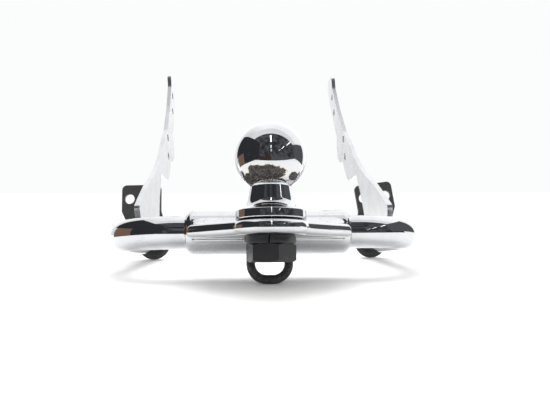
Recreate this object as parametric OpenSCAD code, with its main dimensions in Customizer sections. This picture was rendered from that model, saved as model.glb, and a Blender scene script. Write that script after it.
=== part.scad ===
// Trailer hitch with ball: a U-bent crossbar tube with a centre sleeve and tongue plate,
// a bolted tow ball, a safety-chain loop, two flat side struts and two swivelling brackets.
//
// Frame: origin at the centre of the ball, +Z up along the ball's shank axis,
// +X to the right seen from the towed side, +Y towards the vehicle. Millimetres.

/* [Tow ball] */
// Diameter of the ball (1-7/8 inch)
ball_d = 47.6; // [40:0.1:60]
// Diameter of the flat on top of the ball
ball_top_flat_d = 12.4; // [6:0.1:18]
// Height of the ball's centre above the tongue plate
ball_rise = 42.4; // [38:0.1:60]
// Diameter of the neck under the ball
neck_d = 27.4; // [24:0.1:36]
// Radius of the cove that flares the neck out to the flange
neck_cove_r = 14; // [3:0.5:16]
// Diameter of the seating flange
flange_d = 46.5; // [42:0.5:60]
// Height of the flange where a full cove would meet it
flange_t = 6.6; // [5:0.1:9]
// Rounding of the flange's rim, drawn as a bevel
flange_edge = 0.8; // [0.4:0.1:1.5]
// Diameter of the threaded shank (3/4 inch)
shank_d = 19.05; // [15:0.05:25.4]

/* [Ball nut and lock washer] */
// Width of the hexagon nut across its flats (1-1/8 inch)
nut_af = 28.58; // [25:0.01:36]
// Height of the hexagon nut
nut_h = 11.7; // [10:0.1:18]
// Turn of the tightened nut about the shank, in degrees
nut_turn = 44; // [0:1:59]
// Outer diameter of the split lock washer
lock_washer_d = 32.5; // [28:0.5:38]
// Thickness of the split lock washer
lock_washer_t = 5.2; // [3:0.1:7]
// Width of the split in a split washer
split_w = 0.9; // [0.4:0.1:2]
// Turn of the ball's lock washer about the shank, in degrees
split_turn = -6; // [-45:1:45]
// Slant of the split, in degrees
split_slant = 6; // [0:1:30]

/* [Tongue plate] */
// Thickness of the tongue plate (3/8 inch)
tongue_t = 9.5; // [9:0.1:14]
// Radius of the round nose about the ball's shank
nose_r = 25.5; // [24:0.5:36]
// Distance from the ball's shank to the crossbar's axis
ball_reach = 51.2; // [42:0.1:80]
// Height of the plate's top face above the crossbar's axis
tongue_rise = 3; // [0:0.5:6]
// Radius of the rounded edge of the nose
tongue_edge_r = 4.2; // [1:0.1:4.4]
// Depth of each wing in front of the sleeve, beside the nose
wing_depth = 42.3; // [30:0.1:44]
// Depth of each wing in front of the sleeve, at its tip
wing_tip_depth = 16; // [8:0.5:20]
// Distance of each wing's tip from the sleeve's end
wing_inset = 5; // [0:0.5:6]

/* [Crossbar tube] */
// Outer diameter of the tube (1 inch)
tube_d = 25.4; // [20:0.1:32]
// Wall thickness of the tube
tube_wall = 3; // [2:0.1:4]
// Distance between the axes of the two legs
leg_span = 239.8; // [198:0.2:300]
// Radius of each bend on the tube's axis
bend_r = 50; // [40:1:60]
// Length of each leg from the crossbar's axis to its end
leg_length = 147.7; // [122:0.1:180]

/* [Centre sleeve] */
// Wall thickness of the sleeve around the crossbar
sleeve_wall = 4.5; // [3:0.1:6]
// Length of the sleeve
sleeve_length = 125; // [104:1:150]
// Radius of the sleeve's rounded ends
sleeve_round_r = 6.5; // [2:0.5:8]

/* [Safety-chain loop] */
// Diameter of the loop's bar (1/4 inch)
loop_bar_d = 6.35; // [5:0.05:8]
// Width of the loop over its outside
loop_w = 33; // [27:0.5:42]
// Drop of the loop below the tongue plate
loop_drop = 31.75; // [27:0.05:42]
// Radius of the loop's corners on the bar's axis
loop_corner_r = 11; // [8:0.5:13]
// Place of the loop between the ball nut (0) and the weld bead behind it (1)
loop_place = 0.8; // [0:0.05:1]
// Height of the weld collar at the top of each leg of the loop
collar_h = 2.4; // [1:0.1:3]
// Width of the weld collar around the bar
collar_w = 2; // [1:0.1:3]

/* [Side struts] */
// Thickness of the flat strut
strut_t = 4.8; // [4:0.1:6]
// Distance of each strut's foot inboard of the leg's axis
strut_inset = 7.9; // [4:0.1:9]
// Distance of the strut's foot from the leg's end
foot_setback = 19.7; // [12:0.1:26]
// Lean of both struts towards the left, in degrees
strut_lean = 3.3; // [0:0.1:5]
// Width of the slim upper bar of the strut
strut_bar_w = 30; // [24:0.5:36]
// Diameter of the strut's four bolt holes
strut_hole_d = 8.6; // [6:0.1:11]
// Distance between the two holes of each pair
strut_hole_pitch = 23; // [18:0.5:28]

/* [Swivelling brackets] */
// Thickness of the bracket plate
bracket_t = 4; // [3:0.1:6]
// Width of the bracket's upper plate
bracket_w = 42.6; // [37:0.1:54]
// Height of the bracket's top edge above the leg's axis
bracket_h = 65.5; // [55:0.5:72]
// Outboard offset of the upper plate's middle from the leg's axis
bracket_offset = 14; // [8:0.5:20]
// Height of the upper plate's lower corners above the leg's axis
bracket_shoulder_h = 36; // [30:0.5:44]
// Rounding of the bracket's top corners
bracket_corner_r = 5.5; // [2:0.5:9]
// Metal that the round lobe has outside the tube's own radius
lobe_margin = 4.5; // [2:0.1:6]
// Diameter of the two mounting holes
bracket_hole_d = 10.8; // [7:0.1:12]
// Distance between the two mounting holes
bracket_hole_pitch = 26; // [20:0.1:30]
// Depth of the mounting holes below the top edge
bracket_hole_drop = 15.5; // [12:0.5:20]
// Lean of the left bracket towards the left, in degrees
left_bracket_lean = 1.2; // [0:0.1:45]
// Lean of the right bracket towards the left, in degrees
right_bracket_lean = 8; // [0:1:45]

/* [Pivot bolts] */
// Diameter of the pivot bolt (3/8 inch)
pivot_d = 9.525; // [8:0.005:12]
// Width of the bolt's head across its flats (9/16 inch)
pivot_head_af = 14.29; // [13:0.01:18]
// Height of the bolt's head
pivot_head_h = 6.2; // [5:0.1:8]
// Length of the bolt inside the tube's end plug
pivot_grip = 18; // [12:1:24]
// Metal of the end plug beyond the end of its tapped hole
plug_floor = 3; // [2:0.5:6]
// Outer diameter of the flat washer
flat_washer_d = 21; // [18:0.5:25]
// Thickness of the flat washer
flat_washer_t = 1.6; // [1:0.1:2.5]
// Outer diameter of the spring washer
spring_washer_d = 17; // [15:0.5:20]
// Thickness of the spring washer
spring_washer_t = 2.4; // [1.5:0.1:3.5]

/* [Fits and welds] */
// Radial clearance of the ball's shank in the tongue plate and lock washer
shank_clearance = 0.4; // [0.2:0.05:0.8]
// Radial clearance of a thread in its own nut or plug
thread_clearance = 0.05; // [0.02:0.01:0.1]
// Radial running clearance of the bracket on its pivot bolt
pivot_clearance = 0.08; // [0.02:0.01:0.1]
// Gap on each side of a bracket that swivels
swivel_gap = 0.3; // [0.2:0.05:0.5]
// Room between a strut's notch and the swinging bracket's corner
swing_clearance = 4.5; // [1:0.5:6]
// Radius of the weld beads at the tongue and the struts
weld_r = 3; // [2:0.1:4]
// Radius of the ground fillet weld on top of the tongue plate
fillet_r = 20; // [8:0.5:24]
// Gap between that fillet weld and the ball's flange
flange_gap = 0.5; // [0.2:0.1:2]

/* [Hidden] */
$fn = 96;
tube_r = tube_d / 2;
sleeve_r = tube_r + sleeve_wall;
nut_corner_r = nut_af / 2 / cos(30);
lobe_r = tube_r + lobe_margin;
lobe_tuck = 0.2;
loop_bar_r = loop_bar_d / 2;

// Heights of the stack under the ball, from the ball's centre down
plate_top_z = -ball_rise;
plate_bottom_z = plate_top_z - tongue_t;
nut_top_z = plate_bottom_z - lock_washer_t;
nut_bottom_z = nut_top_z - nut_h;
shank_bevel = 1;
shank_end_z = nut_bottom_z + shank_bevel / 2;

// The crossbar's axis and the leg's end
crossbar_y = ball_reach;
crossbar_z = plate_top_z - tongue_rise;
leg_x = leg_span / 2;
leg_end_y = crossbar_y + leg_length;

// The chain loop hangs between the nut's corners and the lower weld bead
loop_leg_x = loop_w / 2 - loop_bar_r;
collar_r = loop_bar_r + collar_w;
lower_bead_y = ball_reach - sqrt(pow(sleeve_r, 2) - pow(tongue_t - tongue_rise, 2)) - weld_r;
loop_front_y = sqrt(pow(nut_corner_r + collar_r, 2) - pow(loop_leg_x, 2));
loop_back_y = lower_bead_y - collar_r;
loop_y = loop_front_y + loop_place * (loop_back_y - loop_front_y);

// The strut is notched over the circle that the bracket's far corner sweeps
bracket_sweep_r = bracket_corner_r
    + norm([bracket_offset + bracket_w / 2 - bracket_corner_r, bracket_h - bracket_corner_r]);
notch_z = bracket_sweep_r + swing_clearance;

// Faces of the stack on each leg's end, from the leg's end outwards
bracket_y = leg_end_y + swivel_gap;
flat_washer_y = bracket_y + bracket_t + swivel_gap;
spring_washer_y = flat_washer_y + flat_washer_t;
pivot_head_y = spring_washer_y + spring_washer_t;
plug_hole = pivot_grip + 1;
plug_length = plug_hole + plug_floor;

overlap = 1;
chrome = "gainsboro";
black = "dimgray";

// ---- placing helpers ----

// Puts children that are drawn about the crossbar's axis in their place
module at_crossbar() {
    translate([0, crossbar_y, crossbar_z]) children();
}

// A cylinder that runs along +Y from the origin
module y_rod(r, length) {
    rotate([-90, 0, 0]) cylinder(r = r, h = length);
}

// Puts children that are drawn about the leg's axis at one leg: side is -1 left, +1 right
module at_leg(side) {
    translate([side * leg_x, 0, crossbar_z]) children();
}

// ---- crossbar, sleeve and tongue ----

// Solid bent bar of the crossbar's route: its two legs, two bends and the middle
module bent_bar(r, end_extra = 0) {
    straight_half = leg_x - bend_r;
    translate([-straight_half, 0, 0]) rotate([0, 90, 0]) cylinder(r = r, h = 2 * straight_half);
    for (side = [-1, 1]) {
        translate([side * leg_x, bend_r, 0]) y_rod(r, leg_length - bend_r + end_extra);
        translate([side * straight_half, bend_r, 0])
            rotate([0, 0, side < 0 ? 180 : -90])
                rotate_extrude(angle = 90) translate([bend_r, 0]) circle(r = r);
    }
}

module crossbar_tube() {
    color(chrome) at_crossbar() difference() {
        bent_bar(tube_r);
        bent_bar(tube_r - tube_wall, overlap);
    }
}

// Half section of the sleeve, from its inner wall out, with its outer corners rounded
module sleeve_section() {
    difference() {
        translate([tube_r, -sleeve_length / 2]) square([sleeve_wall, sleeve_length]);
        for (end = [0, 1]) mirror([0, end])
            translate([sleeve_r - sleeve_round_r, sleeve_length / 2 - sleeve_round_r])
                difference() {
                    square(sleeve_round_r + overlap);
                    circle(r = sleeve_round_r);
                }
    }
}

module centre_sleeve() {
    color(chrome) at_crossbar() rotate([0, 90, 0]) rotate_extrude() sleeve_section();
}

// Plan of the two wings; each flank runs from inside the nose to the wing's tip
module wing_plan() {
    wing_y = crossbar_y - sleeve_r;
    waist = [nose_r, wing_y - wing_depth];
    tip = [sleeve_length / 2 - wing_inset, wing_y - wing_tip_depth];
    flank = (tip - waist) / norm(tip - waist);
    // The point of the flank's line that is nearest to the shank's axis
    foot = waist - flank * (waist * flank);
    polygon([
        foot, tip, [tip.x, crossbar_y], [-tip.x, crossbar_y], [-tip.x, tip.y], [-foot.x, foot.y]
    ]);
}

// The plate with its round-edged nose, before the sleeve and the shank's hole are cut from it
module tongue_blank() {
    translate([0, 0, plate_bottom_z]) {
        linear_extrude(tongue_t) wing_plan();
        rotate_extrude() {
            square([nose_r - tongue_edge_r, tongue_t]);
            translate([0, tongue_edge_r]) square([nose_r, tongue_t - 2 * tongue_edge_r]);
            for (z = [tongue_edge_r, tongue_t - tongue_edge_r])
                translate([nose_r - tongue_edge_r, z]) circle(r = tongue_edge_r);
        }
    }
}

module tongue_plate() {
    color(chrome) difference() {
        tongue_blank();
        at_crossbar() translate([-sleeve_length, 0, 0]) rotate([0, 90, 0])
            cylinder(r = sleeve_r, h = 2 * sleeve_length);
        at_crossbar() translate([-sleeve_length, 0, -sleeve_r])
            cube([2 * sleeve_length, 2 * sleeve_r, 2 * sleeve_r]);
        translate([0, 0, plate_bottom_z - overlap])
            cylinder(r = shank_d / 2 + shank_clearance, h = tongue_t + 2 * overlap);
    }
}

// Section of the ground fillet weld, about the crossbar's axis: it touches the plate and the sleeve
module fillet_section() {
    centre_rise = tongue_rise + fillet_r;
    centre = [-sqrt(pow(sleeve_r + fillet_r, 2) - pow(centre_rise, 2)), centre_rise];
    difference() {
        polygon([
            [centre.x, tongue_rise], [-sqrt(pow(sleeve_r, 2) - pow(tongue_rise, 2)), tongue_rise],
            centre * sleeve_r / (sleeve_r + fillet_r)
        ]);
        translate(centre) circle(r = fillet_r);
        circle(r = sleeve_r);
    }
}

// Section of the bead in the corner under the plate
module bead_section() {
    bottom = tongue_rise - tongue_t;
    difference() {
        translate([-sqrt(pow(sleeve_r, 2) - pow(bottom, 2)), bottom]) circle(r = weld_r);
        circle(r = sleeve_r);
        translate([-2 * sleeve_r, bottom]) square(2 * sleeve_r);
    }
}

// Welds along the sleeve: a fillet on top of the plate, kept clear of the flange, and a bead under it
module tongue_weld() {
    weld_length = sleeve_length - 2 * sleeve_round_r;
    color(chrome) difference() {
        at_crossbar() translate([-weld_length / 2, 0, 0]) rotate([90, 0, 90])
            linear_extrude(weld_length) {
                fillet_section();
                bead_section();
            }
        translate([0, 0, plate_top_z]) cylinder(r = flange_d / 2 + flange_gap, h = fillet_r);
    }
}

// ---- ball, washer, nut and loop ----

// Half section of the neck, its cove and the flange
module neck_section() {
    neck_r = neck_d / 2;
    flange_r = flange_d / 2;
    rim_r = flange_r - flange_edge;
    cove = [neck_r + neck_cove_r, plate_top_z + flange_t + neck_cove_r];
    rim_z = cove.y - sqrt(pow(neck_cove_r, 2) - pow(max(0, cove.x - rim_r), 2));
    translate([0, plate_top_z]) square([neck_r, ball_rise]);
    difference() {
        translate([0, rim_z]) square([min(rim_r, cove.x), cove.y - rim_z]);
        translate(cove) circle(r = neck_cove_r);
    }
    polygon([
        [0, plate_top_z], [rim_r, plate_top_z], [flange_r, plate_top_z + flange_edge],
        [flange_r, rim_z - flange_edge], [rim_r, rim_z], [0, rim_z]
    ]);
}

module tow_ball() {
    shank_r = shank_d / 2;
    top_z = sqrt(pow(ball_d / 2, 2) - pow(ball_top_flat_d / 2, 2));
    color(chrome) union() {
        intersection() {
            sphere(d = ball_d);
            translate([0, 0, -ball_d]) cylinder(d = 2 * ball_d, h = ball_d + top_z);
        }
        rotate_extrude() neck_section();
        rotate_extrude() polygon([
            [0, plate_top_z + overlap], [shank_r, plate_top_z + overlap],
            [shank_r, shank_end_z + shank_bevel], [shank_r - shank_bevel, shank_end_z], [0, shank_end_z]
        ]);
    }
}

// A split ring about +Z from the origin up, cut by a slanted slot that faces -Y
module split_ring(outer_r, inner_r, thickness, slot) {
    edge = thickness / 4;
    difference() {
        rotate_extrude() polygon([
            [inner_r, 0], [outer_r - edge, 0], [outer_r, edge],
            [outer_r, thickness - edge], [outer_r - edge, thickness], [inner_r, thickness]
        ]);
        translate([0, -outer_r, thickness / 2]) rotate([0, split_slant, 0])
            cube([slot, 2 * (outer_r - inner_r + overlap), 3 * thickness], center = true);
    }
}

module lock_washer() {
    color(black) translate([0, 0, nut_top_z]) rotate([0, 0, split_turn])
        split_ring(lock_washer_d / 2, shank_d / 2 + shank_clearance, lock_washer_t, split_w);
}

// A hexagon about +Z from the origin up, with its corners chamfered at both ends
module chamfered_hex(af, height, both = true) {
    corner_r = af / 2 / cos(30);
    drop = (corner_r - af / 2) * tan(30);
    intersection() {
        cylinder(r = corner_r, h = height, $fn = 6);
        rotate_extrude() polygon([
            [0, 0], [both ? af / 2 : corner_r, 0], [corner_r, both ? drop : 0],
            [corner_r, height - drop], [af / 2, height], [0, height]
        ]);
    }
}

module ball_nut() {
    color(black) translate([0, 0, nut_bottom_z]) difference() {
        rotate([0, 0, nut_turn]) chamfered_hex(nut_af, nut_h);
        translate([0, 0, -overlap])
            cylinder(r = shank_d / 2 + thread_clearance, h = nut_h + 2 * overlap);
    }
}

// The loop's bar: two legs down from the plate, two corners and a level bottom
module chain_loop() {
    bottom_z = plate_bottom_z - loop_drop + loop_bar_r;
    corner_z = bottom_z + loop_corner_r;
    flat_half = loop_leg_x - loop_corner_r;
    color(black) translate([0, loop_y, 0]) {
        for (side = [-1, 1]) {
            translate([side * loop_leg_x, 0, corner_z])
                cylinder(r = loop_bar_r, h = plate_bottom_z - corner_z);
            translate([side * flat_half, 0, corner_z]) rotate([90, 0, 0])
                rotate([0, 0, side < 0 ? 180 : -90])
                    rotate_extrude(angle = 90) translate([loop_corner_r, 0])
                        circle(r = loop_bar_r, $fn = 48);
        }
        translate([-flat_half, 0, bottom_z]) rotate([0, 90, 0])
            cylinder(r = loop_bar_r, h = 2 * flat_half);
    }
}

// Weld collars where the loop's legs meet the plate
module loop_weld() {
    color(black) translate([0, loop_y, plate_bottom_z - collar_h]) for (side = [-1, 1])
        translate([side * loop_leg_x, 0, 0]) difference() {
            cylinder(r1 = loop_bar_r + collar_w / 5, r2 = collar_r, h = collar_h);
            translate([0, 0, -overlap]) cylinder(r = loop_bar_r, h = collar_h + 2 * overlap);
        }
}

// ---- side struts ----

// Places of the four bolt holes: distance behind the leg's end, height above the leg's axis
strut_holes = [
    [45, notch_z + 33], [45, notch_z + 33 + strut_hole_pitch],
    [86, notch_z + 106], [90, notch_z + 106 + strut_hole_pitch]
];

// Outline of the strut: first number is behind the leg's end, second above the leg's axis
module strut_outline() {
    front = bend_r + 0.5 - leg_length;
    back = -foot_setback;
    polygon([
        // foot and its front corner
        [back, 0], [front, 0], [front, tube_r + 5], [front - 4, tube_r + 14.3],
        [front + 6, tube_r + 22],
        // front edge, up to the slim bar
        [-62, notch_z - 22], [-38, notch_z - 9], [-14, notch_z + 8], [2, notch_z + 22],
        [28, notch_z + 52], [42, notch_z + 64], [57, notch_z + 88], [66, notch_z + 102],
        [78, notch_z + 128], [84, notch_z + 142],
        // round top of the slim bar
        [82, notch_z + 152], [85, notch_z + 157], [104, notch_z + 160], [112, notch_z + 157],
        [84 + strut_bar_w, notch_z + 149],
        // back edge down to the tab
        [78 + strut_bar_w, notch_z + 126], [98, notch_z + 105], [90, notch_z + 84], [81, notch_z + 70],
        // tab
        [88, notch_z + 57], [88, notch_z + 42], [77, notch_z + 33], [59.5, notch_z + 30],
        // hook above the notch
        [55, notch_z + 20], [44, notch_z + 4], [35, notch_z], [-1.7, notch_z],
        // back edge of the leg of the strut
        [-4.7, notch_z - 9], [-14, notch_z - 27], [back, tube_r + 15.3]
    ]);
}

// One strut standing on its leg, before the tube is cut from its foot
module strut_blank(side) {
    translate([side * (leg_x - strut_inset), leg_end_y, crossbar_z + tube_r])
        rotate([0, -strut_lean, 0])
            translate([-strut_t / 2, 0, -tube_r])
                rotate([90, 0, 90]) difference() {
                    linear_extrude(strut_t) strut_outline();
                    for (place = strut_holes) translate([place[0], place[1], -overlap])
                        cylinder(d = strut_hole_d, h = strut_t + 2 * overlap);
                }
}

module strut(side) {
    color(chrome) difference() {
        strut_blank(side);
        at_leg(side) y_rod(tube_r, leg_end_y + overlap);
    }
}

// Two weld beads along a strut's foot, one on each face, at the height where it leaves the tube
module strut_weld(side) {
    bead_front = crossbar_y + bend_r + weld_r;
    bead_back = leg_end_y - foot_setback - weld_r;
    foot_x = side * (leg_x - strut_inset);
    color(chrome) difference() {
        for (face = [-1, 1]) {
            inset = strut_inset - face * side * strut_t / 2;
            face_z = crossbar_z + sqrt(pow(tube_r, 2) - pow(inset, 2));
            translate([foot_x + face * strut_t / 2, bead_front, face_z])
                y_rod(weld_r, bead_back - bead_front);
        }
        strut_blank(side);
        at_leg(side) y_rod(tube_r, leg_end_y + overlap);
    }
}

module left_strut() { strut(-1); }
module right_strut() { strut(1); }
module left_strut_weld() { strut_weld(-1); }
module right_strut_weld() { strut_weld(1); }

// ---- leg ends and brackets ----

// Solid plug in the leg's end, with the pivot bolt's tapped hole
module end_plug(side) {
    color(black) at_leg(side) translate([0, leg_end_y - plug_length, 0]) difference() {
        y_rod(tube_r - tube_wall, plug_length);
        translate([0, plug_floor, 0]) y_rod(pivot_d / 2 + thread_clearance, plug_hole + overlap);
    }
}

// A rectangle with two rounded top corners, standing on the X axis
module round_top_plate(w, h, r) {
    translate([-w / 2, 0]) square([w, h - r]);
    translate([-w / 2 + r, 0]) square([w - 2 * r, h]);
    for (end = [-1, 1]) translate([end * (w / 2 - r), h - r]) circle(r = r);
}

// Outline of the bracket about its pivot, with its upper plate offset towards +X
module bracket_outline() {
    outer_x = bracket_offset + bracket_w / 2;
    inner_x = bracket_offset - bracket_w / 2;
    // Where the straight sides meet the lobe, just inside its rim
    side_r = lobe_r - lobe_tuck;
    outer_reach = norm([outer_x, bracket_shoulder_h]);
    inner_reach = norm([inner_x, bracket_shoulder_h]);
    outer_a = atan2(bracket_shoulder_h, outer_x) - acos(lobe_r / outer_reach);
    inner_a = atan2(bracket_shoulder_h, inner_x) + acos(lobe_r / inner_reach);
    circle(r = lobe_r);
    polygon([
        [0, 0], side_r * [cos(outer_a), sin(outer_a)], [outer_x, bracket_shoulder_h],
        [inner_x, bracket_shoulder_h], side_r * [cos(inner_a), sin(inner_a)]
    ]);
    translate([bracket_offset, bracket_shoulder_h])
        round_top_plate(bracket_w, bracket_h - bracket_shoulder_h, bracket_corner_r);
}

module bracket(side, lean) {
    hole_z = bracket_h - bracket_hole_drop;
    color(black) at_leg(side) translate([0, bracket_y + bracket_t, 0]) rotate([0, -lean, 0])
        rotate([90, 0, 0]) difference() {
            linear_extrude(bracket_t) mirror([side < 0 ? 1 : 0, 0]) bracket_outline();
            translate([0, 0, -overlap])
                cylinder(r = pivot_d / 2 + pivot_clearance, h = bracket_t + 2 * overlap);
            for (step = [-0.5, 0.5])
                translate([side * (bracket_offset + step * bracket_hole_pitch), hole_z, -overlap])
                    cylinder(d = bracket_hole_d, h = bracket_t + 2 * overlap);
        }
}

// Flat washer behind the bracket
module flat_washer(side) {
    color(black) at_leg(side) translate([0, flat_washer_y, 0]) difference() {
        y_rod(flat_washer_d / 2, flat_washer_t);
        translate([0, -overlap, 0]) y_rod(pivot_d / 2 + shank_clearance, flat_washer_t + 2 * overlap);
    }
}

module spring_washer(side) {
    color(black) at_leg(side) translate([0, spring_washer_y, 0]) rotate([-90, 0, 0])
        split_ring(spring_washer_d / 2, pivot_d / 2 + shank_clearance, spring_washer_t, split_w);
}

module pivot_bolt(side) {
    color(black) at_leg(side) union() {
        translate([0, leg_end_y - pivot_grip, 0])
            y_rod(pivot_d / 2, pivot_head_y - leg_end_y + pivot_grip + overlap);
        translate([0, pivot_head_y, 0]) rotate([-90, 0, 0])
            chamfered_hex(pivot_head_af, pivot_head_h, false);
    }
}

module left_end_plug() { end_plug(-1); }
module right_end_plug() { end_plug(1); }
module left_bracket() { bracket(-1, left_bracket_lean); }
module right_bracket() { bracket(1, right_bracket_lean); }
module left_flat_washer() { flat_washer(-1); }
module right_flat_washer() { flat_washer(1); }
module left_spring_washer() { spring_washer(-1); }
module right_spring_washer() { spring_washer(1); }
module left_pivot_bolt() { pivot_bolt(-1); }
module right_pivot_bolt() { pivot_bolt(1); }

crossbar_tube();
centre_sleeve();
tongue_plate();
tongue_weld();
tow_ball();
lock_washer();
ball_nut();
chain_loop();
loop_weld();
left_strut();
right_strut();
left_strut_weld();
right_strut_weld();
left_end_plug();
right_end_plug();
left_bracket();
right_bracket();
left_flat_washer();
right_flat_washer();
left_spring_washer();
right_spring_washer();
left_pivot_bolt();
right_pivot_bolt();
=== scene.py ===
"""Trailer hitch with ball: the visible pieces and their finishes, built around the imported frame."""

import math

import bmesh
import bpy
from bpy.props import FloatProperty, FloatVectorProperty, IntProperty, PointerProperty
from mathutils import Matrix, Vector


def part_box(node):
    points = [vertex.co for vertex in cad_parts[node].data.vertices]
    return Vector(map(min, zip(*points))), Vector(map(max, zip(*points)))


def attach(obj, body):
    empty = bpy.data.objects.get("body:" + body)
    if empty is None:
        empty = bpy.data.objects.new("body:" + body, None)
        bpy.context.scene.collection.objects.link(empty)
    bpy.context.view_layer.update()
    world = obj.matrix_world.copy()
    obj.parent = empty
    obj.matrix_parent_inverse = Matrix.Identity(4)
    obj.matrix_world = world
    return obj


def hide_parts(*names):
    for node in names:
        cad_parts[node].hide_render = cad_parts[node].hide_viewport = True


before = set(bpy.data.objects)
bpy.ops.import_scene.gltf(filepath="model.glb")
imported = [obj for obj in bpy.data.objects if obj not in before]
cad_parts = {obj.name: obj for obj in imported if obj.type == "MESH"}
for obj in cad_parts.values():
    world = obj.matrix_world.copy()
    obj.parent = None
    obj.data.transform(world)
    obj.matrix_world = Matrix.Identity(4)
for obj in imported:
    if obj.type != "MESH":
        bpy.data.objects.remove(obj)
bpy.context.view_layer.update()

bl_info = {
    "name": "Trailer hitch with ball",
    "version": (1, 0, 0),
    "blender": (4, 5, 0),
    "location": "View3D > Sidebar > Hitch",
    "description": "Builds a chromed trailer hitch, its tow ball, struts and brackets",
    "category": "Object",
}

MM = 0.001
X_AXIS, Y_AXIS, Z_AXIS = Vector((1, 0, 0)), Vector((0, 1, 0)), Vector((0, 0, 1))
SMOOTH_ANGLE = math.radians(35)
SIDES = {"left": -1, "right": 1}


# ---- places taken from the frame ----

def middle(node):
    """Middle of a CAD node's box."""
    low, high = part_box(node)
    return (low + high) / 2


def span(node, axis):
    """Size of a CAD node's box along axis 0, 1 or 2."""
    low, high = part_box(node)
    return high[axis] - low[axis]


CROSSBAR = middle("centre_sleeve")
SLEEVE_RADIUS = span("centre_sleeve", 2) / 2
PLATE_LOW, PLATE_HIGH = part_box("tongue_plate")
LOOP_LOW, LOOP_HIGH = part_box("chain_loop")
LEG_X = middle("right_end_plug").x
LEG_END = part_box("crossbar_tube")[1].y


# ---- sizes and colours ----

def from_hex(code):
    """An sRGB hex colour as linear red, green, blue and alpha."""
    channels = [int(code[i:i + 2], 16) / 255 for i in (1, 3, 5)]
    return (*[c / 12.92 if c <= 0.04045 else ((c + 0.055) / 1.055) ** 2.4 for c in channels], 1.0)


def length(label, meaning, millimetres):
    """A length property, given in millimetres."""
    return FloatProperty(name=label, description=meaning, default=millimetres * MM, unit="LENGTH")


def colour(label, meaning, code):
    """A colour property, given as an sRGB hex value."""
    return FloatVectorProperty(name=label, description=meaning, subtype="COLOR", size=4,
                               default=from_hex(code))


class HitchSizes(bpy.types.PropertyGroup):
    """Sizes of the visible pieces."""

    ball_diameter: length("Ball", "Diameter of the tow ball", 47.6)
    ball_flat: length("Ball flat", "Diameter of the flat on top of the ball", 12.4)
    neck_diameter: length("Neck", "Diameter of the neck under the ball", 27.4)
    cove_radius: length("Cove", "Radius of the cove between neck and flange", 9)
    flange_diameter: length("Flange", "Diameter of the seating flange", 46.5)
    flange_height: length("Flange height", "Height of the flange where a full cove would meet it", 6.6)
    shank_diameter: length("Shank", "Diameter of the ball's threaded shank", 19.05)
    tube_diameter: length("Tube", "Outer diameter of the crossbar tube", 25.4)
    tube_wall: length("Tube wall", "Wall thickness of the crossbar tube", 3)
    bend_radius: length("Bend", "Radius of the two bends on the tube's axis", 50)
    sleeve_round: length("Sleeve ends", "Radius of the sleeve's rounded ends", 6.5)
    nose_radius: length("Tongue nose", "Radius of the tongue plate's nose", 25.5)
    wing_depth: length("Wing depth", "Depth of each wing in front of the sleeve, beside the nose", 42.3)
    wing_tip_depth: length("Wing tip", "Depth of each wing in front of the sleeve, at its tip", 16)
    wing_corner: length("Wing corner", "Radius of each wing's corner", 5)
    hollow_radius: length("Hollow", "Radius of the hollow between nose and wing", 6)
    plate_edge: length("Plate edge", "Radius of the plate's rounded edge", 4.3)
    fillet_radius: length("Fillet weld", "Radius of the ground weld on top of the plate", 20)
    bead_radius: length("Weld bead", "Radius of the weld beads", 3)
    loop_bar: length("Loop bar", "Diameter of the chain loop's bar", 6.35)
    loop_corner: length("Loop corner", "Radius of the chain loop's corners", 11)
    collar_height: length("Loop collar", "Height of the weld collars on the chain loop", 2.4)
    collar_width: length("Loop collar width", "Width of the weld collars on the chain loop", 2)
    edge_break: length("Edge break", "Width of the rounding on the brackets' edges", 0.6)
    strut_edge: length("Strut edge", "Width of the rounding on the struts' edges", 2.1)
    round_steps: IntProperty(name="Round steps", description="Facets round a turned piece",
                             default=128, min=24, max=256)


class HitchColours(bpy.types.PropertyGroup):
    """Colours of the finishes."""

    chrome: colour("Chrome", "Clean chrome plate", "#cccdd0")
    hazed_chrome: colour("Hazed chrome", "Chrome plate under road film", "#c2c3c5")
    pitted_steel: colour("Pitted steel", "Steel in the pits of the plating", "#3f3936")
    worn_steel: colour("Worn steel", "Dark steel where the plating has worn off", "#2b2827")
    rubbed_steel: colour("Rubbed steel", "Lighter steel where the plating has worn off", "#6b6766")
    worn_rim: colour("Worn rim", "Nickel laid bare round a worn patch", "#c9bfae")
    black_oxide: colour("Black oxide", "Nut, washers and bolts", "#1d1d20")
    grey_oxide: colour("Grey oxide", "Rubbed places on black oxide", "#3c3c3e")
    loop_paint: colour("Loop paint", "Gloss black paint on the chain loop", "#28282a")
    loop_scuffs: colour("Loop scuffs", "Scuffed places on the chain loop", "#5c5c5e")
    black_paint: colour("Black paint", "Bracket plates", "#3a3a3a")
    grey_paint: colour("Grey paint", "Scuffs on the bracket plates", "#565656")
    tarnish: colour("Tarnish", "Tarnished turned steel", "#77736c")
    turned_steel: colour("Turned steel", "Clean turned steel", "#a3a19c")


# ---- mesh helpers ----

def arc(centre, radius, start, end, steps):
    """Points of a flat arc; angles in degrees."""
    angles = [math.radians(start + (end - start) * i / steps) for i in range(steps + 1)]
    return [(centre[0] + radius * math.cos(a), centre[1] + radius * math.sin(a)) for a in angles]


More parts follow.
